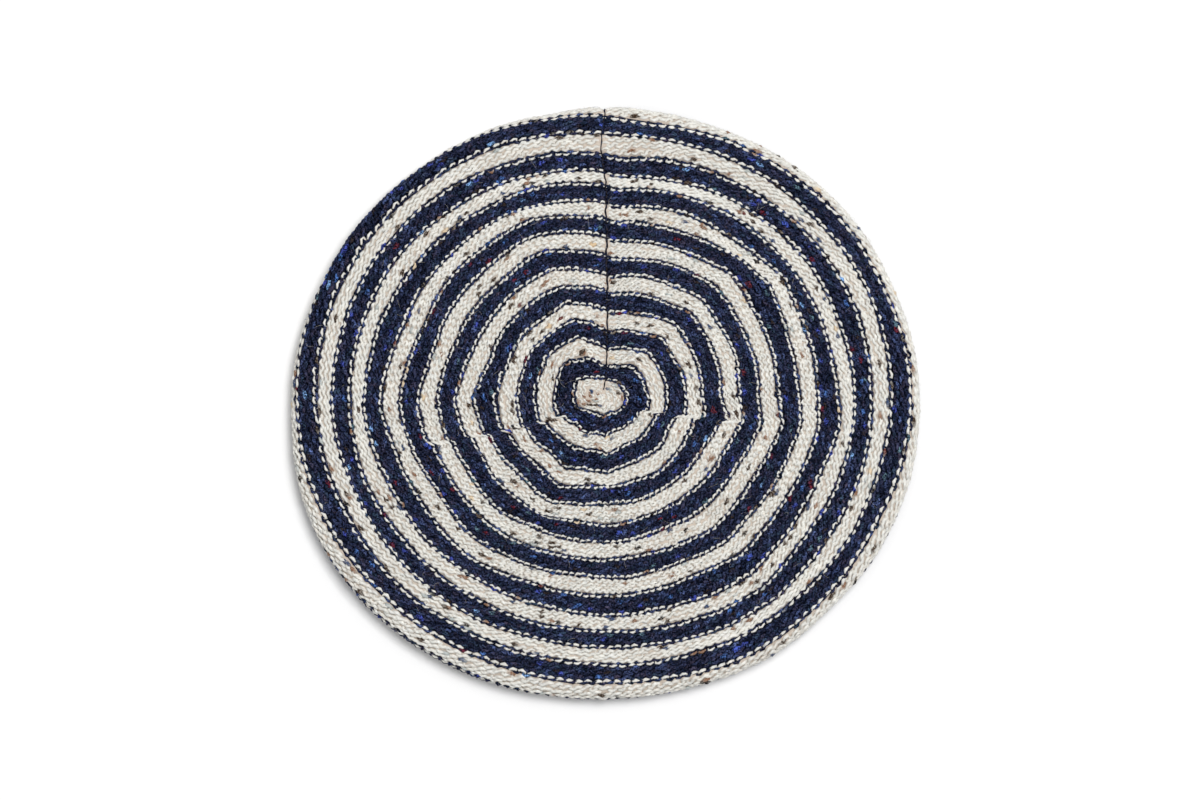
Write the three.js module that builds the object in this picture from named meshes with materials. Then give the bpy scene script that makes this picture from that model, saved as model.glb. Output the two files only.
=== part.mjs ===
// A knitted slouch beret lying flat on its underside, crown up, in millimetres with +Z up.
// It has two pieces: the hollow crown, knitted in one from the eye at its centre over the rim
// to the underside, and the ribbed band round the head opening. The seam runs to the back, +Y.

import * as THREE from "three";
import { ParametricGeometry } from "three/addons/geometries/ParametricGeometry.js";

// Driving dimensions of the crown
const WIDTH = 295; // side to side, as it lies
const DEPTH = 279; // front to back, as it lies
const CROWN_HEIGHT = 31; // of the swell at the eye
const RIM_HEIGHT = 19; // of the rolled edge
const WALL = 3; // the knitted cloth's thickness
const EYE = new THREE.Vector2(-2.2, 3.35); // where the rounds of knitting close, beside the middle
const OUTLINE_BULGES = [
  { toward: 217, swell: 3.9, spread: 30 },
  { toward: 130, swell: -1.6, spread: 32 },
  { toward: 335, swell: 0.8, spread: 20 },
  { toward: 75, swell: -0.7, spread: 18 },
]; // degrees from +X, millimetres and degrees: where the soft rim strays from an oval

// The crown is shaped by lines of decreases, which pull the cloth in between its soft panels
const DECREASE_LINES = 8;
const DECREASE_DIP = 1.2;
const SEAM_LINE = 2; // the line that runs to the back is also the seam
const SEAM_DIP = 2.2;

// Driving dimensions of the band, which lies flat round the head opening
const BAND_OUTER_RADIUS = 104;
const BAND_INNER_RADIUS = 80;
const BAND_WALL = 2.6;
const RIBS = 46; // of two plain and two purl columns each
const RIB_RISE = 1.4; // of a raised rib over the furrow beside it
const JOIN_GAP = 0.3; // between the crown's edge and the band

// How finely the surfaces are divided
const CROWN_COLUMNS = 72;
const TOP_ROWS = 9;
const ROLL_ROWS = 8;
const UNDERSIDE_ROWS = 2;
const COLUMNS_PER_RIB = 4;

const CREAM = 0xe4dccf;
const NAVY = 0x1b1f38;
const WOOL_ROUGHNESS = 0.95;

const FULL_TURN = 2 * Math.PI;
const ROLL_RADIUS = RIM_HEIGHT / 2;

const { euclideanModulo, lerp, radToDeg } = THREE.MathUtils;

// Unit vector in plan at an angle from +X
function outward(angle) {
  return new THREE.Vector2(Math.cos(angle), Math.sin(angle));
}

// How far round it is from one angle to another, the shorter way, in degrees
function degreesBetween(angle, degrees) {
  const apart = euclideanModulo(radToDeg(angle) - degrees, 360);
  return Math.min(apart, 360 - apart);
}

// Distance from the middle to the outermost edge at an angle
function outlineRadius(angle) {
  const across = WIDTH / 2;
  const along = DEPTH / 2;
  const oval = (across * along) / Math.hypot(along * Math.cos(angle), across * Math.sin(angle));
  return OUTLINE_BULGES.reduce((radius, { toward, swell, spread }) => {
    const share = degreesBetween(angle, toward) / spread;
    return radius + swell * Math.exp(-share * share);
  }, oval);
}

// How far the top dips at an angle, at a share of the way from the eye to the rim
function panelDip(angle, share) {
  const line = (angle / FULL_TURN) * DECREASE_LINES;
  const nearest = Math.round(line) % DECREASE_LINES;
  const depth = nearest === SEAM_LINE ? SEAM_DIP : DECREASE_DIP;
  const crease = 1 - Math.abs(Math.sin(Math.PI * line));
  const fade = 4 * share * (1 - share);
  return depth * crease * fade;
}

// Point of the top, at a share of the way from the eye to where the rim begins to roll
function topPoint(angle, share, sunk) {
  const rollStart = outward(angle).multiplyScalar(outlineRadius(angle) - ROLL_RADIUS);
  const plan = EYE.clone().lerp(rollStart, share);
  const swell = (CROWN_HEIGHT - RIM_HEIGHT) * (1 - share * share) ** 2;
  return new THREE.Vector3(plan.x, plan.y, RIM_HEIGHT + swell - panelDip(angle, share) - sunk);
}

// Point of the rolled edge, at a share of the half turn from its top to its foot
function rollPoint(angle, share, sunk) {
  const turn = Math.PI * share;
  const radius = ROLL_RADIUS - sunk;
  const out = outlineRadius(angle) - ROLL_RADIUS + radius * Math.sin(turn);
  const plan = outward(angle).multiplyScalar(out);
  return new THREE.Vector3(plan.x, plan.y, ROLL_RADIUS + radius * Math.cos(turn));
}

// Point of the flat underside, at a share of the way from the roll's foot to the band
function undersidePoint(angle, share, sunk) {
  const from = outlineRadius(angle) - ROLL_RADIUS;
  const plan = outward(angle).multiplyScalar(lerp(from, BAND_OUTER_RADIUS + JOIN_GAP, share));
  return new THREE.Vector3(plan.x, plan.y, sunk);
}

// The stations of one face of the wall from the eye to the band, each a function of the angle
function wallStations(sunk) {
  const stations = [];
  for (let row = 0; row < TOP_ROWS; row++) {
    stations.push((angle) => topPoint(angle, row / TOP_ROWS, sunk));
  }
  for (let row = 0; row <= ROLL_ROWS; row++) {
    stations.push((angle) => rollPoint(angle, row / ROLL_ROWS, sunk));
  }
  for (let row = 1; row <= UNDERSIDE_ROWS; row++) {
    stations.push((angle) => undersidePoint(angle, row / UNDERSIDE_ROWS, sunk));
  }
  return stations;
}

// A closed surface swept round the middle through a list of stations
function sweep(stations, columns) {
  const spans = stations.length - 1;
  const surface = (u, v, target) => {
    const angle = (Math.round(u * columns) % columns) * (FULL_TURN / columns);
    target.copy(stations[Math.round(v * spans)](angle));
  };
  return new ParametricGeometry(surface, columns, spans);
}

// The hollow crown: its inner face from the eye to the band, then its outer face back to the eye
function crownGeometry() {
  const inner = wallStations(WALL);
  const outer = wallStations(0).reverse();
  return sweep([...inner, ...outer], CROWN_COLUMNS);
}

// The band: a flat ring of even thickness, raised and sunk by turns in ribs
function bandGeometry() {
  const edge = BAND_WALL / 2;
  const section = [
    { radius: BAND_OUTER_RADIUS, height: 0 },
    { radius: BAND_OUTER_RADIUS, height: BAND_WALL },
    { radius: BAND_INNER_RADIUS + edge, height: BAND_WALL },
    { radius: BAND_INNER_RADIUS, height: edge },
    { radius: BAND_INNER_RADIUS + edge, height: 0 },
    { radius: BAND_OUTER_RADIUS, height: 0 },
  ];
  const columns = RIBS * COLUMNS_PER_RIB;
  const stations = section.map(({ radius, height }) => (angle) => {
    const column = Math.round((angle / FULL_TURN) * columns) % COLUMNS_PER_RIB;
    const raised = column < COLUMNS_PER_RIB / 2 ? RIB_RISE : 0;
    const plan = outward(angle).multiplyScalar(radius);
    return new THREE.Vector3(plan.x, plan.y, height + raised);
  });
  return sweep(stations, columns);
}

function piece(name, geometry, color) {
  const material = new THREE.MeshStandardMaterial({ color, roughness: WOOL_ROUGHNESS, metalness: 0 });
  const mesh = new THREE.Mesh(geometry, material);
  mesh.name = name;
  return mesh;
}

const beret = new THREE.Group();
beret.add(piece("crown", crownGeometry(), CREAM));
beret.add(piece("band", bandGeometry(), NAVY));

// The origin is under the middle of the whole, on the surface that it lies on
const box = new THREE.Box3().setFromObject(beret);
const middle = box.getCenter(new THREE.Vector3());
for (const mesh of beret.children) {
  mesh.position.set(-middle.x, -middle.y, -box.min.z);
}

export default beret;
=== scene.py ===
"""A knitted slouch beret of flecked tweed wool, lying flat with its crown up.

The crown is knitted with its purl side out. Each of its rows is one looped yarn, laid over the form that
the solids have, so that the loops make the bumps, the stripes and the broken lines between them.
Lengths are in millimetres until a mesh is made. Angles run from +X towards +Y, and the seam is at +Y.
"""

import math

import bpy
import numpy as np
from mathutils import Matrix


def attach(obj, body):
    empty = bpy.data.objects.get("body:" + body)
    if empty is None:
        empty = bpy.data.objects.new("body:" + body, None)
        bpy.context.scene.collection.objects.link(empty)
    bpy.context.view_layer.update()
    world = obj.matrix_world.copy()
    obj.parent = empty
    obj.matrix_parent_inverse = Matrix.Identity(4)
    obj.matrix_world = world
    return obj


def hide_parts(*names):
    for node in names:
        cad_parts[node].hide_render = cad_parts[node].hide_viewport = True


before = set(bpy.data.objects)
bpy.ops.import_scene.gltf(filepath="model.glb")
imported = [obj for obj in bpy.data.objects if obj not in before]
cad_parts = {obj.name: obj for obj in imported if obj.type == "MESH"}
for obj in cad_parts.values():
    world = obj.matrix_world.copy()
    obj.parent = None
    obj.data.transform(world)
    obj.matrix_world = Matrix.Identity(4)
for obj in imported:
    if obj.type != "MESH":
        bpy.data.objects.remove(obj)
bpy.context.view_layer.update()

METRES = 0.001
FULL_TURN = 2 * math.pi
SEED = 8

# The crown's form, as in the part's source
WIDTH = 295.0
DEPTH = 279.0
CROWN_HEIGHT = 31.0
RIM_HEIGHT = 19.0
ROLL = RIM_HEIGHT / 2
WALL = 3.0
EYE = (-2.2, 3.35)
DECREASE_LINES = 8
DECREASE_DIP = 1.2
SEAM_LINE = 2
SEAM_DIP = 2.2
OUTLINE_BULGES = [
    {"toward": 217, "swell": 3.9, "spread": 30},
    {"toward": 130, "swell": -1.6, "spread": 32},
    {"toward": 335, "swell": 0.8, "spread": 20},
    {"toward": 75, "swell": -0.7, "spread": 18},
]
OUTLINE_SAMPLES = 3600  # points from which the outline's middle is found

# How the soft edge strays from that outline
RIM_WAVES = [
    {"toward": 22, "swell": -0.8, "spread": 8},
    {"toward": 65, "swell": -0.5, "spread": 12},
    {"toward": 101, "swell": -1.0, "spread": 6},
    {"toward": 157, "swell": -0.5, "spread": 8},
    {"toward": 183, "swell": -0.5, "spread": 6},
    {"toward": 200, "swell": 0.6, "spread": 12},
    {"toward": 250, "swell": 0.8, "spread": 14},
    {"toward": 302, "swell": 0.8, "spread": 9},
    {"toward": 318, "swell": -0.7, "spread": 7},
]

# The knitting: rows are counted from the eye, and 4 rows make a stripe
FIRST_ROW = 0
LAST_ROW = 92
CENTRE_ROWS = 5  # in the cream centre
ROWS_IN_STRIPE = 4
RIM_ROW = 64.75  # the outer edge of the last dark stripe on the top
FOLD_ROW = 69  # about where the rim folds under
FOLD_PITCH = 3.7  # the fold stretches its rows
FOLD_SLACK = 0.19  # the share by which it stretches them less where it is slack
SLACK_AT = 235  # degrees
SLACK_SPREAD = 28
UNDER_ROW = 70  # from here on the rows lie under the rim, and have fewer points
ROW_PITCH = 2.2
ROW_EASE = 0.00075  # how much closer the rows lie as they near the rim
EYE_RADIUS = -0.3
LEAST_ROW = 0.5  # in measuring how far from the eye a row lies
LEAST_ALONG = 0.3  # from the eye to the nearest yarn
FIRST_STITCHES_IN_PANEL = 0.6
STITCHES_IN_PANEL_A_ROW = 0.52
MOST_STITCHES_IN_PANEL = 23

# The seam, where the rows end
SEAM_AT = 91.8  # degrees
SEAM_ASIDE = 3.8  # how far to the right of the eye it starts
SEAM_KINK = 2.2  # how far it strays to the left near the rim
SEAM_KINK_ROW = 58
SEAM_KINK_ROWS = 4
SEAM_HALF_GAP = 0.4
WIDEST_SEAM_GAP = 0.25  # stitches
SEAM_GROOVE = 1.3
SEAM_SPREAD = 1.7
LINE_EASE = 2  # a line leaves the eye over this many times its distance aside

# The seam's thread, which swells and wobbles along its way
SEAM_FIRST_ROW = 2
SEAM_ROW_STEP = 0.25
SEAM_THREAD_WIDTH = 0.95
SEAM_THREAD_DEPTH = 1.1
SEAM_THIN = 0.6  # the share of its width that it has at its ends
SEAM_SWELL = 0.4
SEAM_SWELL_ROW = 32
SEAM_SWELL_ROWS = 16
SEAM_TWIST = 0.12
SEAM_TWIST_TURN = 4.2  # radians a row
SEAM_WOBBLE = 0.25
SEAM_WOBBLE_TURNS = (2.1, 0.63)  # radians a row
SEAM_WOBBLE_EASE = 2  # rows, which keep the wobble small at the eye

# How the rounds stray from circles: the cloth is wider than deep, and each decrease pulls at its rounds
OVAL_AT_EYE = 2.4
OVAL_AT_RIM = 3.1
OVAL_ROWS = 2.5  # over which the eye's own oval grows
PULLS = [
    {"at": 15, "lift": -1.5, "spread": 45, "from_row": 0, "to_row": 5},
    {"at": 325, "lift": 1.1, "spread": 32, "from_row": 2, "to_row": 6},
    {"at": 147, "lift": 2.4, "spread": 18, "from_row": 3, "to_row": 6},
    {"at": 204, "lift": 1.3, "spread": 20, "from_row": 4, "to_row": 15},
    {"at": 252, "lift": 1.6, "spread": 12, "from_row": 8, "to_row": 10},
    {"at": 225, "lift": -1.3, "spread": 10, "from_row": 6, "to_row": 24},
    {"at": 333, "lift": -1.6, "spread": 12, "from_row": 12, "to_row": 34},
    {"at": 0, "aside": -11.0, "lift": 2.8, "spread": 8, "from_row": 25, "to_row": 50},
    {"at": 2, "lift": -2.0, "spread": 8, "from_row": 20, "to_row": 35},
    {"at": 62, "lift": -1.3, "spread": 20, "from_row": 8, "to_row": 18},
    {"at": 132, "lift": 1.6, "spread": 15, "from_row": 9, "to_row": 14},
    {"at": 86, "lift": -3.8, "spread": 15, "from_row": 9, "to_row": 56},
    {"at": 45, "lift": 3.0, "spread": 10, "from_row": 11, "to_row": 40},
    {"at": 35, "lift": 3.4, "spread": 9, "from_row": 40, "to_row": 46},
    {"at": 112, "lift": 3.2, "spread": 14, "from_row": 11, "to_row": 42},
    {"at": 146, "lift": 1.8, "spread": 11, "from_row": 9, "to_row": 16},
    {"at": 160, "lift": -1.6, "spread": 12, "from_row": 18, "to_row": 46},
    {"at": 181, "lift": 3.1, "spread": 9, "from_row": 22, "to_row": 48},
    {"at": 243, "lift": 3.1, "spread": 11, "from_row": 15, "to_row": 27},
    {"at": 228, "lift": 1.4, "spread": 12, "from_row": 34, "to_row": 46},
    {"at": 208, "lift": -1.4, "spread": 10, "from_row": 30, "to_row": 50},
    {"at": 118, "lift": 1.6, "spread": 9, "from_row": 35, "to_row": 37},
    {"at": 275, "lift": 2.4, "spread": 10, "from_row": 2, "to_row": 18},
    {"at": 275, "lift": 1.2, "spread": 14, "from_row": 28, "to_row": 52},
    {"at": 310, "lift": 2.6, "spread": 9, "from_row": 36, "to_row": 57},
    {"at": 204, "lift": -2.5, "spread": 34, "from_row": 58, "to_row": 70},
    {"at": 85, "lift": -2.7, "spread": 36, "from_row": 53, "to_row": 75},
    {"at": 80, "lift": -1.8, "spread": 14, "from_row": 64, "to_row": 75},
    {"at": 142, "lift": 7.0, "spread": 30, "from_row": 64, "to_row": 75},
    {"at": 298, "lift": 1.3, "spread": 24, "from_row": 64, "to_row": 75},
    {"at": 298, "lift": 2.9, "spread": 25, "from_row": 49, "to_row": 75},
    {"at": 358, "lift": 1.7, "spread": 13, "from_row": 64, "to_row": 75},
    {"at": 338, "lift": -1.4, "spread": 14, "from_row": 63, "to_row": 75},
    {"at": 168, "lift": -1.4, "spread": 13, "from_row": 60, "to_row": 63},
]
STEPS = [
    {"at": 0, "aside": -11.0, "step": 4.4, "spread": 15, "from_row": 8, "to_row": 26},
    {"at": 185.5, "aside": 12.8, "step": -3.0, "spread": 9, "from_row": 9, "to_row": 36},
    {"at": SEAM_AT, "aside": -SEAM_ASIDE, "step": 1.2, "spread": 16, "from_row": 6, "to_row": 70},
]
PULL_FADE = 4.0  # rows over which a pull or step grows and dies
PULL_ROUNDNESS = 1.2  # of a pull's peak: 1 is a point and 2 is round
STEP_WIDTH = 0.6  # degrees

# The slow unevenness of the rows: each wave's size, how many there are to a round, how far each row's is
# turned on from the last row's, and where it starts, in radians
UNEVEN_WAVES = [
    {"size": 0.28, "to_round": 7, "turn": 0.41, "start": 0},
    {"size": 0.22, "to_round": 13, "turn": -0.63, "start": 2},
    {"size": 0.12, "to_round": 31, "turn": 1.7, "start": 1},
]
UNEVEN_ROWS = 12  # over which it grows

# The yarn and its loops
YARN_WIDTHS = {"cream": 1.335, "navy": 1.68}
YARN_HEIGHT = 1.4
YARN_SIDES = 4
FINEST_YARN = 0.7  # the share of its width that the yarn has at the eye
FULL_YARN_ROW = 26
FOLD_YARN = 1.3  # the share of its width that the yarn has in the fold, where it lies looser
LOOP_CENTRE = 0.25  # rows beyond the row's own line
LOOP_REACH = 0.75  # rows from a loop's centre to its head, and to its foot
LOOP_LEAN = 0.265  # stitches that a loop's sides lean out
EYE_LEAN = 0.295  # the same at the eye
LOOP_SLANT = 0.16  # rows that a bump's ends are off its middle, so that the bumps slant
LOOP_RISE = 0.86
BUMP_LENGTH = 0.72  # how sharply a bump dips at its ends: the less, the longer it stays up
BUMP_PLUMPNESS = 0.17  # how much thicker the yarn is at a bump than on its way through the cloth
EDGE_THINNING = {"cream": 0.18, "navy": 0.23}  # how much finer a bump is that reaches into the next stripe
CLOTH_MIDDLE = WALL / 2
NORMAL_STEP = 0.5  # the depth over which the cloth's direction is measured
FINE_SHARES = np.array([0, 0.0875, 0.25, 0.4125, 0.5, 0.5875, 0.75, 0.9125])  # of a loop, foot to foot
PLAIN_SHARES = np.arange(6) / 6
JITTERS = {"place": 0.06, "row": 0.12, "depth": 0.1, "thick": 0.07}  # stitches, rows, millimetres, a share

# The felted middle of each stripe's cloth, which fills the gaps in its loops; its colours are painted
# shade, the yarn's colour darkened as it looks in those gaps
CORE_COLUMNS = 96
CORE_DEPTHS = {"cream": (1.2, 1.7), "navy": (1.6, 2.1)}
CORE_ENDS = {"cream": (0.15, 0.35), "navy": (-0.65, 1.15)}  # rows beyond the first and the last
CORE_EDGE = 0.9  # rows

# Loose ends of fibre, with the least and the most of what varies
FIBRES = 1800
FIBRE_POINTS = 5
FIBRE_SIDES = 3
FIBRE_WIDTH = 0.08
FIBRE_ROWS = 74
FIBRE_SPREAD = (0.005, 1)  # the share of the cloth nearer to the eye
FIBRE_LENGTHS = (1.5, 5.5)
FIBRE_LIFTS = (0.4, 1.4)
FIBRE_CURL = 0.8
FIBRE_ROOT = 0.5  # how deep its ends are
STRAYED = 0.2  # the share of fibres that lie on the other colour
TINY = 1e-6  # keeps an upright strand's sides from having no length

# The ribbed band
BAND_OUTER_RADIUS = 104.0
BAND_INNER_RADIUS = 80.0
BAND_HEIGHT = 4.0
JOIN_GAP = 0.3
BAND_ROWS = 11
BAND_ROW_PITCH = (BAND_OUTER_RADIUS - BAND_INNER_RADIUS) / BAND_ROWS
BAND_MARGIN = 0.3  # rows
BAND_YARN = 0.9  # the share of its width that the yarn has
RIB_STITCHES = 4
RIB_RISE = 0.5
BAND_CORE_EDGE = 0.9
BAND_CORE_HEIGHT = 0.6

# The stage
PHOTO_WIDTH = 1200
PHOTO_HEIGHT = 800
PIXEL = 0.47  # millimetres on the beret
OUTLINE_MIDDLE_PIXEL = (605.3, 403.1)
CAMERA_DISTANCE = 2400.0
SENSOR = 36.0
FLOOR_SIDE = 6.0  # metres
SURROUND = 0.5  # the strength of the light from all round
KEY_PLACE = (0.625, 0.605, 3.0)  # metres
KEY_SIZE = 1.12  # metres
KEY_POWER = 67.6  # watts
LIGHT_LEVEL = 1.16  # the light on a level face, in the picture's white


def tone(red, green, blue):
    """A linear colour that looks on a screen as given, 0 to 255, when it lies level in the light."""
    channels = np.array([red, green, blue]) / 255
    dark = channels / 12.92
    light = ((channels + 0.055) / 1.055) ** 2.4
    return np.where(channels <= 0.04045, dark, light) / LIGHT_LEVEL


# Colours
WOOLS = {"cream": tone(248, 248, 242), "navy": tone(42, 44, 63)}
# Painted shade: the cores' colours, the yarns' own darkened as they look in the gaps between the loops
SHADED_CORES = {"cream": tone(213, 200, 187), "navy": tone(7, 7, 11)}
SHADED_CORE_EDGES = {"cream": tone(210, 196, 183), "navy": tone(36, 40, 58)}  # where one stripe meets another
# The seam's thread, made dark brown-grey, darker than the navy yarn, as painted shade in the seam's groove
SEAM_THREAD_AND_SHADE = tone(36, 32, 32)
FIBRE_TONES = {"cream": tone(214, 208, 200), "navy": tone(62, 76, 122)}
FLOOR = (0.955, 0.955, 0.955)
YARN_COLOUR = "yarn_colour"  # the name under which a mesh keeps its colours

# The tweed: each bump is its wool's colour, mixed with one of the wool's heathers
HEATHERS = {
    "cream": np.stack([tone(255, 252, 246), tone(240, 231, 221), tone(246, 248, 248)]),
    "navy": np.stack([tone(12, 14, 18), tone(62, 75, 112), tone(48, 42, 52), tone(40, 54, 68)]),
}
HEATHER_SHARES = {"cream": 0.45, "navy": 0.9}  # of a heather, at most
SHADE_SPREADS = {"cream": 0.05, "navy": 0.32}  # how much a yarn's bumps differ in strength
STRENGTHS = (0.3, 2)  # the least and the most
# Painted shade on yarn deep in the cloth, between the bumps: the tint that its colour is multiplied by
# there
DEEP_SHADE_TINTS = {"cream": np.array([0.68, 0.61, 0.54]), "navy": np.array([0.25, 0.25, 0.28])}
DEEP_SHADE_SOFTNESS = 1.3  # how late that painted shade sets in

# The tweed's flecks: colour, how many in a hundred stitches, half their length in stitches, and how much
# thicker than the yarn they are
FLECKS = {
    "cream": [
        {"colour": tone(62, 47, 36), "in_hundred": 3.4, "reach": 0.14, "swell": 0.18},
        {"colour": tone(30, 28, 30), "in_hundred": 1.0, "reach": 0.15, "swell": 0.18},
        {"colour": tone(60, 80, 116), "in_hundred": 1.0, "reach": 0.13, "swell": 0.18},
        {"colour": tone(196, 203, 202), "in_hundred": 0.9, "reach": 0.36, "swell": 0.18},
        {"colour": tone(240, 218, 186), "in_hundred": 0.5, "reach": 0.15, "swell": 0.18},
        {"colour": tone(150, 112, 88), "in_hundred": 3.0, "reach": 0.1, "swell": 0.1},
        {"colour": tone(104, 44, 42), "in_hundred": 0.3, "reach": 0.14, "swell": 0.18},
        {"colour": tone(66, 50, 40), "in_hundred": 0.34, "reach": 0.26, "swell": 0.7},
        {"colour": tone(236, 208, 170), "in_hundred": 0.14, "reach": 0.26, "swell": 0.6},
        {"colour": tone(252, 250, 246), "in_hundred": 0.2, "reach": 0.24, "swell": 0.6},
    ],
    "navy": [
        {"colour": tone(58, 68, 142), "in_hundred": 3.4, "reach": 0.1, "swell": 0.18},
        {"colour": tone(62, 92, 146), "in_hundred": 1.6, "reach": 0.11, "swell": 0.18},
        {"colour": tone(104, 138, 180), "in_hundred": 0.4, "reach": 0.18, "swell": 0.18},
        {"colour": tone(76, 98, 108), "in_hundred": 1.2, "reach": 0.15, "swell": 0.18},
        {"colour": tone(88, 30, 36), "in_hundred": 1.1, "reach": 0.1, "swell": 0.18},
        {"colour": tone(44, 36, 30), "in_hundred": 2.5, "reach": 0.3, "swell": 0.1},
        {"colour": tone(62, 78, 156), "in_hundred": 0.2, "reach": 0.24, "swell": 0.6},
        {"colour": tone(84, 36, 40), "in_hundred": 0.12, "reach": 0.24, "swell": 0.6},
    ],
}
EYE_CROWDING = 3  # times as many flecks in the rows round the eye
FLECK_STRAY = 0.05  # stitches from the middle of a bump
FLECK_LENGTHS = (0.7, 1.4)  # the least and the most, as a share of a fleck's own
FLECK_STRENGTH = 2  # at its middle, where 1 already hides the yarn's colour
FLECK_FADE = 1.4  # strength lost over its reach

# The wools' looks: the grain of their mottle and how soft it is, the darkest and lightest that it makes the
# yarn, the colour of the fibres among it and their share at most, and the colour of the nap's sheen
WOOL_LOOKS = {
    "cream": {
        "grain": 750,
        "softness": 0.14,
        "darkest": 1.02,
        "lightest": 1.17,
        "fibre": tone(240, 228, 215),
        "fibre_share": 0.4,
        "nap": (1, 0.96, 0.9),
    },
    "navy": {
        "grain": 1400,
        "softness": 0.05,
        "darkest": 0.1,
        "lightest": 2.68,
        "fibre": tone(62, 76, 118),
        "fibre_share": 0.45,
        "nap": (0.08, 0.16, 0.5),
    },
}
WOOL_ROUGHNESS = 0.95
SHEEN = 0.03
SHEEN_ROUGHNESS = 0.6
NOISE_MIDDLE = 0.5
NOISE_SOFTNESS = 0.14
MOTTLE_DETAIL = 2
FIBRE_GRAIN = 1300
FIBRE_DETAIL = 2
NAP_GRAIN = 4200
NAP_DETAIL = 3
NAP_STRENGTH = 0.5
NAP_DEPTH = 0.0003  # metres


# The form

def outline_radius(angle):
    """Distance from the middle to the outermost edge at an angle."""
    across = WIDTH / 2
    along = DEPTH / 2
    oval = across * along / np.hypot(along * np.cos(angle), across * np.sin(angle))
    return oval + swollen_by(OUTLINE_BULGES, angle)


def swollen_by(bulges, angle):
    """How far some bulges swell out at an angle."""
    swell = np.zeros_like(angle)
    for bulge in bulges:
        share = degrees_between(angle, bulge["toward"]) / bulge["spread"]
        swell = swell + bulge["swell"] * np.exp(-share**2)
    return swell


def degrees_between(angle, degrees):
    """How far round it is from one angle to another, the shorter way, in degrees."""
    return np.abs((np.degrees(angle) - degrees + 180) % 360 - 180)


def panel_dip(angle, share):
    """How far the top dips at an angle, at a share of the way from the eye to the rim."""
    line = (angle % FULL_TURN) / FULL_TURN * DECREASE_LINES
    nearest = np.round(line) % DECREASE_LINES
    depth = np.where(nearest == SEAM_LINE, SEAM_DIP, DECREASE_DIP)
    crease = 1 - np.abs(np.sin(math.pi * line))
    return depth * crease * 4 * share * (1 - share)


def top_reach(angle):
    """Length over the top from the eye to where the rim begins to roll."""
    start = outline_radius(angle) - ROLL
    return np.hypot(start * np.cos(angle) - EYE[0], start * np.sin(angle) - EYE[1])


def crown_surface(angle, along, depth):
    """Points of the crown at a distance from the eye over its outer face, sunk below that face."""
    start = outline_radius(angle) - ROLL
    reach = top_reach(angle)
    share = np.clip(along / reach, 0, 1)
    turn = np.clip((along - reach) / ROLL, 0, math.pi)
    under = np.clip(along - reach - math.pi * ROLL, 0, None)
    radius = start + (ROLL + swollen_by(RIM_WAVES, angle) - depth) * np.sin(turn) - under
    on_top = along < reach
    x = np.where(on_top, EYE[0] + (start * np.cos(angle) - EYE[0]) * share, radius * np.cos(angle))
    y = np.where(on_top, EYE[1] + (start * np.sin(angle) - EYE[1]) * share, radius * np.sin(angle))
    swell = (CROWN_HEIGHT - RIM_HEIGHT) * (1 - share**2) ** 2
    top = RIM_HEIGHT + swell - panel_dip(angle, share) - depth
    z = np.where(on_top, top, ROLL + (ROLL - depth) * np.cos(turn))
    return np.stack([x, y, z], axis=-1)


def band_surface(angle, along, depth):
    """Points of the band at a distance in from its outer edge, sunk below its upper face."""
    radius = BAND_OUTER_RADIUS - along
    z = BAND_HEIGHT - depth + np.zeros_like(radius)
    return np.stack([radius * np.cos(angle), radius * np.sin(angle), z], axis=-1)


def outline_middle():
    """The middle of the outline's box, which the part's frame has as its origin."""
    angle = np.linspace(0, FULL_TURN, OUTLINE_SAMPLES)
    x = outline_radius(angle) * np.cos(angle)
    y = outline_radius(angle) * np.sin(angle)
    return np.array([(x.min() + x.max()) / 2, (y.min() + y.max()) / 2, 0])


# Where the rows lie

def stripe_of(row):
    """Number of the stripe that a row is in."""
    return 0 if row < CENTRE_ROWS else 1 + (row - CENTRE_ROWS) // ROWS_IN_STRIPE


def shade_of(stripe):
    """Cream and navy by turns, from the centre."""
    return "navy" if stripe % 2 else "cream"


def stitches_in(row):
    """How many stitches a row has."""
    in_panel = round(STITCHES_IN_PANEL_A_ROW * row + FIRST_STITCHES_IN_PANEL)
    return DECREASE_LINES * min(max(in_panel, 1), MOST_STITCHES_IN_PANEL)


def smooth_step(value):
    """0 below 0, 1 above 1, and smooth between."""
    value = np.clip(value, 0, 1)
    return value * value * (3 - 2 * value)


def lasting(row, entry):
    """How much of a pull or step there is in a row."""
    grown = smooth_step((row - entry["from_row"]) / PULL_FADE + 1)
    dying = smooth_step((entry["to_row"] - row) / PULL_FADE + 1)
    return grown * dying


def pulled(angle, row):
    """How far the decreases pull a row out of its round."""
    lift = np.zeros_like(angle)
    for pull in PULLS:
        share = np.abs(line_turn(angle, row, pull["at"], pull.get("aside", 0))) / pull["spread"]
        lift = lift + pull["lift"] * lasting(row, pull) * np.exp(-(share**PULL_ROUNDNESS))
    return lift


def stepped(angle, row):
    """How far a row misses itself where it crosses a line such as the seam."""
    lift = np.zeros_like(angle)
    for line in STEPS:
        turned = line_turn(angle, row, line["at"], line["aside"])
        sides = np.tanh(turned / STEP_WIDTH) * np.exp(-np.abs(turned) / line["spread"])
        lift = lift + line["step"] / 2 * lasting(row, line) * sides
    return lift


def line_angle(row, degrees, aside):
    """Where round the eye a row meets a line that runs outwards at an angle, aside of the eye."""
    radius = row_radius(row)
    ease = np.maximum(LINE_EASE * np.abs(aside), 1)
    near = np.abs(aside) * (1 - np.exp(-radius / ease))
    return np.radians(degrees) + np.sign(aside) * np.arcsin(near / np.maximum(radius, near + 1))


def line_turn(angle, row, degrees, aside):
    """Degrees from a line to an angle in a row, more than 0 where the angle is beyond the line."""
    return (np.degrees(angle - line_angle(row, degrees, aside)) + 180) % 360 - 180


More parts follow.
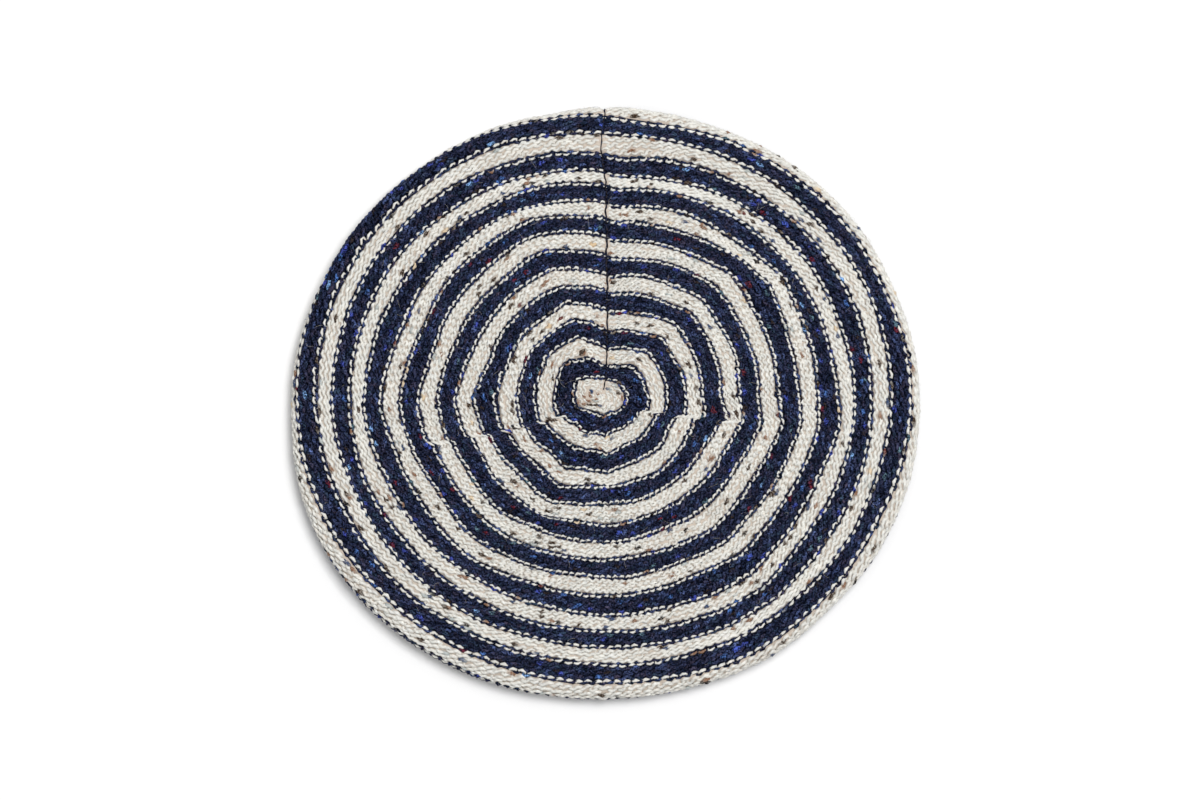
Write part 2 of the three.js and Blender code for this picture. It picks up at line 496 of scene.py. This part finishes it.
def uneven(angle, row):
    """The slow unevenness of hand-pulled rows."""
    lift = np.zeros_like(angle)
    for wave in UNEVEN_WAVES:
        turned = wave["to_round"] * angle + wave["turn"] * row + wave["start"]
        lift = lift + wave["size"] * np.sin(turned)
    return lift * np.clip(row / UNEVEN_ROWS, 0, 1)


def oval_of(row):
    """How far a row's sides stand out, and its front and back stand in, from a circle."""
    at_eye = OVAL_AT_EYE * (1 - np.exp(-np.clip(row, 0, None) / OVAL_ROWS))
    return at_eye + OVAL_AT_RIM * (row / RIM_ROW) ** 2


def fold_pitch(angle):
    """How far apart the rows lie where the rim folds under."""
    slack = np.exp(-((degrees_between(angle, SLACK_AT) / SLACK_SPREAD) ** 2))
    return FOLD_PITCH * (1 - FOLD_SLACK * slack)


def row_along(angle, row):
    """Distance from the eye over the outer face at which a row lies."""
    on_top = np.minimum(row, RIM_ROW)
    in_fold = np.clip(row - RIM_ROW, 0, FOLD_ROW - RIM_ROW)
    along = EYE_RADIUS + ROW_PITCH * on_top - ROW_EASE * on_top**2
    along = along + oval_of(on_top) * np.cos(2 * angle) + pulled(angle, on_top) + uneven(angle, on_top)
    along = along + stepped(angle, on_top) + fold_pitch(angle) * in_fold
    start = outline_radius(angle) - ROLL
    end = top_reach(angle) + math.pi * ROLL + start - BAND_OUTER_RADIUS - JOIN_GAP
    beyond = np.clip((row - FOLD_ROW) / (LAST_ROW + 1 - FOLD_ROW), 0, None)
    return np.maximum(along + (end - along) * beyond, LEAST_ALONG)


def row_radius(row):
    """About how far from the eye a row lies."""
    return EYE_RADIUS + ROW_PITCH * np.maximum(row, LEAST_ROW)


def seam_angle(row):
    """Where round the eye a row meets the seam."""
    kink = SEAM_KINK * np.exp(-(((row - SEAM_KINK_ROW) / SEAM_KINK_ROWS) ** 2))
    return line_angle(row, SEAM_AT, -SEAM_ASIDE) + kink / row_radius(row)


def row_angle(row, level, leaning, stitches):
    """Angles along a row, which runs once round from one side of the seam to the other."""
    gap = min(SEAM_HALF_GAP / row_radius(row), WIDEST_SEAM_GAP * FULL_TURN / stitches)
    return seam_angle(level) + gap + (FULL_TURN - 2 * gap) * leaning / stitches


def seam_groove(row, place, stitches):
    """How much deeper a row lies as it nears the seam."""
    from_seam = np.minimum(place, stitches - place) / stitches * FULL_TURN * row_radius(row)
    return SEAM_GROOVE * np.exp(-(from_seam / SEAM_SPREAD) ** 2)


# The yarn

def bump_places(stitches):
    """Where along a row its bumps are, in stitches: at the head and the foot of each loop."""
    return np.linspace(0, stitches, 2 * stitches + 1)


def loops(stitches, shares, rng):
    """The course of a row's yarn: each point's place in stitches, its turn in its loop, and its jitter."""
    place = (np.arange(stitches)[:, None] + shares).ravel()
    place = np.append(place, stitches)
    turn = FULL_TURN * (place - 0.5)
    bumps = bump_places(stitches)
    jitter = {
        name: np.interp(place, bumps, rng.normal(0, size, len(bumps)))
        for name, size in JITTERS.items()
    }
    return place, turn, jitter


def rise_of(turn):
    """How high the yarn stands in the cloth, from -1 where it is deepest to 1 on top of a bump."""
    wave = np.cos(2 * turn)
    return np.sign(wave) * np.abs(wave) ** BUMP_LENGTH


def reaching_out(row, turn):
    """How far a row's yarn reaches into the next stripe, from 0 to 1 at its loops' heads or feet."""
    if stripe_of(row + 1) != stripe_of(row):
        return (1 + np.cos(turn)) / 2
    if stripe_of(row - 1) != stripe_of(row):
        return (1 - np.cos(turn)) / 2
    return np.zeros_like(turn)


def heathers_along(place, shade, stitches, rng):
    """Colour along a row's yarn before its flecks: each bump has a strength and some of a heather."""
    bumps = bump_places(stitches)
    strength = np.clip(rng.normal(1, SHADE_SPREADS[shade], len(bumps)), *STRENGTHS)[:, None]
    heather = HEATHERS[shade][rng.integers(0, len(HEATHERS[shade]), len(bumps))]
    mixed = rng.uniform(0, HEATHER_SHARES[shade], len(bumps))[:, None]
    tones = (WOOLS[shade] * (1 - mixed) + heather * mixed) * strength
    return np.stack([np.interp(place, bumps, channel) for channel in tones.T], axis=-1)


def yarn_tones(place, turn, shade, stitches, crowding, rng):
    """Colour along a row's yarn, with painted shade where it is deep in the cloth, and how much its flecks
    swell it.
    """
    colours = heathers_along(place, shade, stitches, rng)
    bumps = bump_places(stitches)
    swollen = np.zeros(len(place))
    for fleck in FLECKS[shade]:
        count = rng.poisson(fleck["in_hundred"] * crowding * stitches / 100)
        for _ in range(count):
            at = rng.choice(bumps) + rng.normal(0, FLECK_STRAY)
            reach = fleck["reach"] * rng.uniform(*FLECK_LENGTHS)
            share = np.clip(FLECK_STRENGTH - FLECK_FADE * np.abs(place - at) / reach, 0, 1)
            colours = colours * (1 - share[:, None]) + fleck["colour"] * share[:, None]
            swollen = np.maximum(swollen, fleck["swell"] * share)
    # painted shade: the yarn's colour darkens where it lies deep between the bumps
    deep = ((1 - rise_of(turn))[:, None] / 2) ** DEEP_SHADE_SOFTNESS
    return colours * (1 - deep + DEEP_SHADE_TINTS[shade] * deep), swollen


def tube(points, normals, width, height, thick):
    """Corners and faces of a closed tube of yarn along points, flattened towards the cloth."""
    tangent = np.gradient(points, axis=0)
    tangent /= np.linalg.norm(tangent, axis=1, keepdims=True)
    side = np.cross(tangent, normals)
    side /= np.linalg.norm(side, axis=1, keepdims=True)
    up = np.cross(side, tangent)
    rings = []
    for corner in range(YARN_SIDES):
        turn = FULL_TURN * corner / YARN_SIDES
        across = side * (math.cos(turn) * width / 2 * thick)[:, None]
        above = up * (math.sin(turn) * height / 2 * thick)[:, None]
        rings.append(points + across + above)
    corners = np.stack(rings, axis=1).reshape(-1, 3)
    sides = np.arange(YARN_SIDES)
    ring = np.arange(len(points) - 1)[:, None] * YARN_SIDES
    first = ring + sides
    second = ring + (sides + 1) % YARN_SIDES
    walls = np.stack([first, first + YARN_SIDES, second + YARN_SIDES, second], axis=-1).reshape(-1, 4)
    last = len(corners) - YARN_SIDES
    ends = np.stack([sides, last + sides[::-1]])
    return corners, np.concatenate([walls, ends])


def strands(points):
    """Corners and faces of many thin strands, each along a row of points."""
    tangent = np.gradient(points, axis=1)
    side = np.cross(tangent, (0.0, 0.0, 1.0)) + (TINY, 0, 0)
    side /= np.linalg.norm(side, axis=2, keepdims=True)
    up = np.cross(side, tangent)
    up /= np.linalg.norm(up, axis=2, keepdims=True)
    turns = FULL_TURN * np.arange(FIBRE_SIDES) / FIBRE_SIDES
    spokes = side[:, :, None, :] * np.cos(turns)[:, None] + up[:, :, None, :] * np.sin(turns)[:, None]
    corners = (points[:, :, None, :] + FIBRE_WIDTH / 2 * spokes).reshape(-1, 3)
    numbers = np.arange(len(points) * FIBRE_POINTS).reshape(len(points), FIBRE_POINTS)
    ring = numbers[:, :-1, None] * FIBRE_SIDES
    first = (ring + np.arange(FIBRE_SIDES)).ravel()
    second = (ring + (np.arange(FIBRE_SIDES) + 1) % FIBRE_SIDES).ravel()
    return corners, np.stack([first, first + FIBRE_SIDES, second + FIBRE_SIDES, second], axis=-1)


# Parts, each with its corners, faces and colours

def crown_row(row, rng):
    """One row of the crown."""
    shade = shade_of(stripe_of(row))
    stitches = stitches_in(row)
    fullness = smooth_step(row / FULL_YARN_ROW)
    place, turn, jitter = loops(stitches, FINE_SHARES if row < UNDER_ROW else PLAIN_SHARES, rng)
    level = row + LOOP_CENTRE + LOOP_REACH * np.cos(turn) - LOOP_SLANT * np.sin(2 * turn) + jitter["row"]
    lean = EYE_LEAN + (LOOP_LEAN - EYE_LEAN) * fullness
    leaning = place + lean * np.sin(2 * turn) + jitter["place"]
    angle = row_angle(row, level, leaning, stitches)
    along = row_along(angle, level)
    depth = CLOTH_MIDDLE - LOOP_RISE * rise_of(turn) + jitter["depth"] + seam_groove(row, place, stitches)
    points = crown_surface(angle, along, depth)
    normals = points - crown_surface(angle, along, depth + NORMAL_STEP)
    normals /= np.linalg.norm(normals, axis=1, keepdims=True)
    crowding = EYE_CROWDING if row < CENTRE_ROWS else 1
    colours, swollen = yarn_tones(place, turn, shade, stitches, crowding, rng)
    thick = 1 + BUMP_PLUMPNESS * np.cos(2 * turn) + jitter["thick"] + swollen
    thick = thick * (1 - EDGE_THINNING[shade] * reaching_out(row, turn))
    points[:, 2] = np.maximum(points[:, 2], YARN_HEIGHT / 2 * thick)
    fineness = FINEST_YARN + (1 - FINEST_YARN) * fullness
    looseness = FOLD_YARN if RIM_ROW < row < FOLD_ROW else 1
    width = YARN_WIDTHS[shade] * fineness * looseness
    corners, faces = tube(points, normals, width, YARN_HEIGHT * fineness, thick)
    return corners, faces, np.repeat(colours, YARN_SIDES, axis=0)


def stripe_core(first_row, last_row, shade):
    """The felted middle of a stripe's cloth, coloured as painted shade in the gaps between its loops."""
    angle = np.linspace(0, FULL_TURN, CORE_COLUMNS, endpoint=False)
    start = first_row + CORE_ENDS[shade][0]
    end = last_row + CORE_ENDS[shade][1]
    levels = [start, start + CORE_EDGE, (start + end) / 2, end - CORE_EDGE, end]
    upper, lower = CORE_DEPTHS[shade]
    rounds = [crown_surface(angle, row_along(angle, level), upper) for level in levels]
    rounds += [crown_surface(angle, row_along(angle, level), lower) for level in levels[::-1]]
    # painted shade in the gaps between the loops
    colours = [SHADED_CORE_EDGES[shade], SHADED_CORES[shade], SHADED_CORES[shade], SHADED_CORES[shade], SHADED_CORE_EDGES[shade]]
    colours = np.repeat(colours + colours[::-1], CORE_COLUMNS, axis=0)
    return np.concatenate(rounds), round_faces(len(rounds)), colours


def round_faces(rounds):
    """Faces of a closed ring through a number of rounds, each to the next and the last to the first."""
    columns = np.arange(CORE_COLUMNS)
    following = (columns + 1) % CORE_COLUMNS
    faces = []
    for number in range(rounds):
        here = number * CORE_COLUMNS
        there = (number + 1) % rounds * CORE_COLUMNS
        corners = [columns + here, columns + there, following + there, following + here]
        faces.append(np.stack(corners, axis=-1))
    return np.concatenate(faces)


def band_row(row, rng):
    """One row of the ribbed band."""
    stitches = DECREASE_LINES * MOST_STITCHES_IN_PANEL
    place, turn, jitter = loops(stitches, PLAIN_SHARES, rng)
    raised = np.where(np.floor(place) % RIB_STITCHES < RIB_STITCHES / 2, 1, -1)
    depth = BAND_HEIGHT / 2 - raised * (LOOP_RISE * np.cos(2 * turn) - RIB_RISE) + jitter["depth"]
    level = row + 0.5 + LOOP_REACH * np.cos(turn)
    along = np.clip(level, BAND_MARGIN, BAND_ROWS - BAND_MARGIN) * BAND_ROW_PITCH
    leaning = place + LOOP_LEAN * np.sin(2 * turn) + jitter["place"]
    angle = math.radians(SEAM_AT) + FULL_TURN * leaning / stitches
    points = band_surface(angle, along, depth)
    normals = np.tile([0.0, 0.0, 1.0], (len(points), 1))
    colours, swollen = yarn_tones(place, turn, "navy", stitches, 1, rng)
    thick = BAND_YARN + jitter["thick"] + swollen
    points[:, 2] = np.maximum(points[:, 2], YARN_HEIGHT / 2 * thick)
    corners, faces = tube(points, normals, YARN_WIDTHS["navy"], YARN_HEIGHT, thick)
    return corners, faces, np.repeat(colours, YARN_SIDES, axis=0)


def band_core():
    """The felted middle of the band's cloth, coloured near black as painted shade."""
    angle = np.linspace(0, FULL_TURN, CORE_COLUMNS, endpoint=False)
    outer = np.full(CORE_COLUMNS, BAND_CORE_EDGE)
    inner = np.full(CORE_COLUMNS, BAND_ROWS * BAND_ROW_PITCH - BAND_CORE_EDGE)
    upper = (BAND_HEIGHT - BAND_CORE_HEIGHT) / 2
    lower = (BAND_HEIGHT + BAND_CORE_HEIGHT) / 2
    corners = [(inner, upper), (outer, upper), (outer, lower), (inner, lower)]
    rounds = [band_surface(angle, along, depth) for along, depth in corners]
    # painted shade, near black
    colours = np.tile(SHADED_CORES["navy"], (len(rounds) * CORE_COLUMNS, 1))
    return np.concatenate(rounds), round_faces(len(rounds)), colours


def joined(parts):
    """Several parts as one."""
    corners = np.concatenate([part[0] for part in parts])
    colours = np.concatenate([part[2] for part in parts])
    starts = np.cumsum([0] + [len(part[0]) for part in parts[:-1]])
    faces = np.concatenate([part[1] + start for part, start in zip(parts, starts)])
    return corners, faces, colours


# Pieces

def make_piece(name, part, material, node):
    """A mesh of a part, riding on the beret, in place of a solid if one is named."""
    corners, faces, colours = part
    mesh = bpy.data.meshes.new(name)
    mesh.vertices.add(len(corners))
    mesh.vertices.foreach_set("co", ((corners - outline_middle()) * METRES).astype(np.float32).ravel())
    mesh.loops.add(faces.size)
    mesh.loops.foreach_set("vertex_index", faces.astype(np.int32).ravel())
    mesh.polygons.add(len(faces))
    mesh.polygons.foreach_set("loop_start", np.arange(0, faces.size, faces.shape[1], dtype=np.int32))
    mesh.update(calc_edges=True)
    mesh.shade_smooth()
    layer = mesh.color_attributes.new(YARN_COLOUR, "FLOAT_COLOR", "POINT")
    opaque = np.concatenate([colours, np.ones((len(colours), 1))], axis=1)
    layer.data.foreach_set("color", opaque.astype(np.float32).ravel())
    mesh.materials.append(material)
    piece = bpy.data.objects.new(name, mesh)
    bpy.context.scene.collection.objects.link(piece)
    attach(piece, "root")
    if node:
        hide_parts(node)


def make_stripes(materials):
    """The crown's stripes, each a piece of a few rows of yarn and their core."""
    rng = np.random.default_rng(SEED)
    for stripe in range(stripe_of(LAST_ROW) + 1):
        shade = shade_of(stripe)
        rows = [row for row in range(FIRST_ROW, LAST_ROW + 1) if stripe_of(row) == stripe]
        parts = [crown_row(row, rng) for row in rows]
        parts.append(stripe_core(rows[0], rows[-1], shade))
        name = f"stripe_{stripe:02d}_{shade}"
        make_piece(name, joined(parts), materials[shade], "crown")


def make_seam(material):
    """The thread that closes the crown from the eye to the band, sunk between the ends of the rows,
    coloured darker than the yarn as painted shade in the seam's groove.
    """
    row = np.arange(SEAM_FIRST_ROW, LAST_ROW, SEAM_ROW_STEP)
    wobble = sum(SEAM_WOBBLE * np.sin(turn * row) for turn in SEAM_WOBBLE_TURNS)
    angle = seam_angle(row) + wobble / row_radius(row + SEAM_WOBBLE_EASE)
    along = row_along(angle, row)
    points = crown_surface(angle, along, SEAM_THREAD_DEPTH)
    normals = points - crown_surface(angle, along, SEAM_THREAD_DEPTH + NORMAL_STEP)
    swell = SEAM_SWELL * np.exp(-(((row - SEAM_SWELL_ROW) / SEAM_SWELL_ROWS) ** 2))
    thick = SEAM_THIN + swell + SEAM_TWIST * np.sin(SEAM_TWIST_TURN * row)
    corners, faces = tube(points, normals, SEAM_THREAD_WIDTH, SEAM_THREAD_WIDTH, thick)
    colours = np.tile(SEAM_THREAD_AND_SHADE, (len(corners), 1))
    make_piece("seam_thread", (corners, faces, colours), material, None)


def make_fibres(materials):
    """Loose ends of fibre, each a thin arc that leaves the cloth and comes back to it."""
    rng = np.random.default_rng(SEED + 2)
    row = FIBRE_ROWS * np.sqrt(rng.uniform(*FIBRE_SPREAD, FIBRES))
    angle = rng.uniform(0, FULL_TURN, FIBRES)
    heading = rng.uniform(0, FULL_TURN, FIBRES)
    length = rng.uniform(*FIBRE_LENGTHS, FIBRES)
    lift = rng.uniform(*FIBRE_LIFTS, FIBRES)
    curl = rng.normal(0, FIBRE_CURL, FIBRES)
    on_cream = np.array([shade_of(stripe_of(int(value))) == "cream" for value in row])
    is_cream = on_cream ^ (rng.uniform(size=FIBRES) < STRAYED)
    share = np.linspace(0, 1, FIBRE_POINTS)
    bow = 4 * share * (1 - share)
    ahead = length[:, None] * (share - 0.5)
    aside = curl[:, None] * bow
    round_about = ahead * np.cos(heading)[:, None] - aside * np.sin(heading)[:, None]
    outward = ahead * np.sin(heading)[:, None] + aside * np.cos(heading)[:, None]
    angles = angle[:, None] + round_about / row_radius(row)[:, None]
    along = np.maximum(row_along(angle, row)[:, None] + outward, LEAST_ALONG)
    points = crown_surface(angles, along, FIBRE_ROOT - lift[:, None] * bow)
    points[..., 2] = np.maximum(points[..., 2], FIBRE_WIDTH)
    for shade, chosen in (("cream", is_cream), ("navy", ~is_cream)):
        corners, faces = strands(points[chosen])
        colours = np.tile(FIBRE_TONES[shade], (len(corners), 1))
        make_piece(f"fibres_{shade}", (corners, faces, colours), materials[shade], None)


def make_band(material):
    """The ribbed band round the head opening."""
    rng = np.random.default_rng(SEED + 1)
    parts = [band_row(row, rng) for row in range(BAND_ROWS)]
    parts.append(band_core())
    make_piece("ribbed_band", joined(parts), material, "band")


# Materials

def noise_range(nodes, links, place, scale, detail, softness, low, high):
    """A noise of a given fineness, spread over a range: the less soft, the more at the range's ends."""
    noise = nodes.new("ShaderNodeTexNoise")
    noise.inputs["Scale"].default_value = scale
    noise.inputs["Detail"].default_value = detail
    spread = nodes.new("ShaderNodeMapRange")
    spread.inputs["From Min"].default_value = NOISE_MIDDLE - softness
    spread.inputs["From Max"].default_value = NOISE_MIDDLE + softness
    spread.inputs["To Min"].default_value = low
    spread.inputs["To Max"].default_value = high
    links.new(place.outputs["Object"], noise.inputs["Vector"])
    links.new(noise.outputs["Fac"], spread.inputs["Value"])
    return spread.outputs["Result"]


def wool_colour(nodes, links, place, look):
    """The yarn's colours, mottled, with some fibres of another colour among them."""
    yarn = nodes.new("ShaderNodeAttribute")
    yarn.attribute_name = YARN_COLOUR
    darkest = look["darkest"]
    lightest = look["lightest"]
    mottle = noise_range(
        nodes, links, place, look["grain"], MOTTLE_DETAIL, look["softness"], darkest, lightest
    )
    mottled = nodes.new("ShaderNodeVectorMath")
    mottled.operation = "SCALE"
    links.new(yarn.outputs["Color"], mottled.inputs[0])
    links.new(mottle, mottled.inputs["Scale"])
    share = look["fibre_share"]
    fibres = noise_range(nodes, links, place, FIBRE_GRAIN, FIBRE_DETAIL, NOISE_SOFTNESS, -share, share)
    blend = nodes.new("ShaderNodeMix")
    blend.data_type = "RGBA"
    blend.inputs["B"].default_value = (*look["fibre"], 1)
    links.new(fibres, blend.inputs["Factor"])
    links.new(mottled.outputs["Vector"], blend.inputs["A"])
    return blend.outputs["Result"]


def wool_nap(nodes, links, place):
    """The fine hairs that stand up from the yarn."""
    hairs = noise_range(nodes, links, place, NAP_GRAIN, NAP_DETAIL, NOISE_SOFTNESS, 0, 1)
    nap = nodes.new("ShaderNodeBump")
    nap.inputs["Strength"].default_value = NAP_STRENGTH
    nap.inputs["Distance"].default_value = NAP_DEPTH
    links.new(hairs, nap.inputs["Height"])
    return nap.outputs["Normal"]


def wool_material(shade):
    """Wool yarn in the colours of its mesh, with a soft nap."""
    look = WOOL_LOOKS[shade]
    material = bpy.data.materials.new(shade + "_wool")
    material.use_nodes = True
    nodes = material.node_tree.nodes
    links = material.node_tree.links
    place = nodes.new("ShaderNodeTexCoord")
    shader = nodes["Principled BSDF"]
    shader.inputs["Roughness"].default_value = WOOL_ROUGHNESS
    shader.inputs["Specular IOR Level"].default_value = 0
    shader.inputs["Sheen Weight"].default_value = SHEEN
    shader.inputs["Sheen Tint"].default_value = (*look["nap"], 1)
    shader.inputs["Sheen Roughness"].default_value = SHEEN_ROUGHNESS
    links.new(wool_colour(nodes, links, place, look), shader.inputs["Base Color"])
    links.new(wool_nap(nodes, links, place), shader.inputs["Normal"])
    return material


def floor_material():
    """Plain matt white."""
    material = bpy.data.materials.new("pale_floor")
    material.use_nodes = True
    shader = material.node_tree.nodes["Principled BSDF"]
    shader.inputs["Base Color"].default_value = (*FLOOR, 1)
    shader.inputs["Roughness"].default_value = 1
    shader.inputs["Specular IOR Level"].default_value = 0
    return material


# The stage

def make_camera():
    """The photograph's camera, straight above with the seam to the top, and its plain colours."""
    data = bpy.data.cameras.new("camera")
    data.sensor_width = SENSOR
    data.lens = SENSOR * CAMERA_DISTANCE / (PHOTO_WIDTH * PIXEL)
    camera = bpy.data.objects.new("camera", data)
    x = (PHOTO_WIDTH / 2 - OUTLINE_MIDDLE_PIXEL[0]) * PIXEL
    y = (OUTLINE_MIDDLE_PIXEL[1] - PHOTO_HEIGHT / 2) * PIXEL
    camera.location = (x * METRES, y * METRES, (CAMERA_DISTANCE + ROLL) * METRES)
    bpy.context.scene.collection.objects.link(camera)
    bpy.context.scene.camera = camera
    bpy.context.scene.view_settings.view_transform = "Standard"


def make_floor():
    """A pale floor under the beret."""
    half = FLOOR_SIDE / 2
    corners = [(-half, -half, 0), (half, -half, 0), (half, half, 0), (-half, half, 0)]
    mesh = bpy.data.meshes.new("floor")
    mesh.from_pydata(corners, [], [(0, 1, 2, 3)])
    mesh.materials.append(floor_material())
    floor = bpy.data.objects.new("floor", mesh)
    bpy.context.scene.collection.objects.link(floor)


def make_surround():
    """An even white light from all round."""
    world = bpy.data.worlds.new("surround")
    world.use_nodes = True
    background = world.node_tree.nodes["Background"]
    background.inputs["Color"].default_value = (1, 1, 1, 1)
    background.inputs["Strength"].default_value = SURROUND
    bpy.context.scene.world = world


def make_key_light():
    """A large soft light from high at the back on the right, which faces the beret."""
    data = bpy.data.lights.new("key", "AREA")
    data.size = KEY_SIZE
    data.energy = KEY_POWER
    light = bpy.data.objects.new("key", data)
    light.location = KEY_PLACE
    light.rotation_euler = (-light.location).to_track_quat("-Z", "Y").to_euler()
    bpy.context.scene.collection.objects.link(light)


make_camera()
make_floor()
make_surround()
make_key_light()
wools = {shade: wool_material(shade) for shade in WOOL_LOOKS}
make_stripes(wools)
make_seam(wools["navy"])
make_fibres(wools)
make_band(wools["navy"])
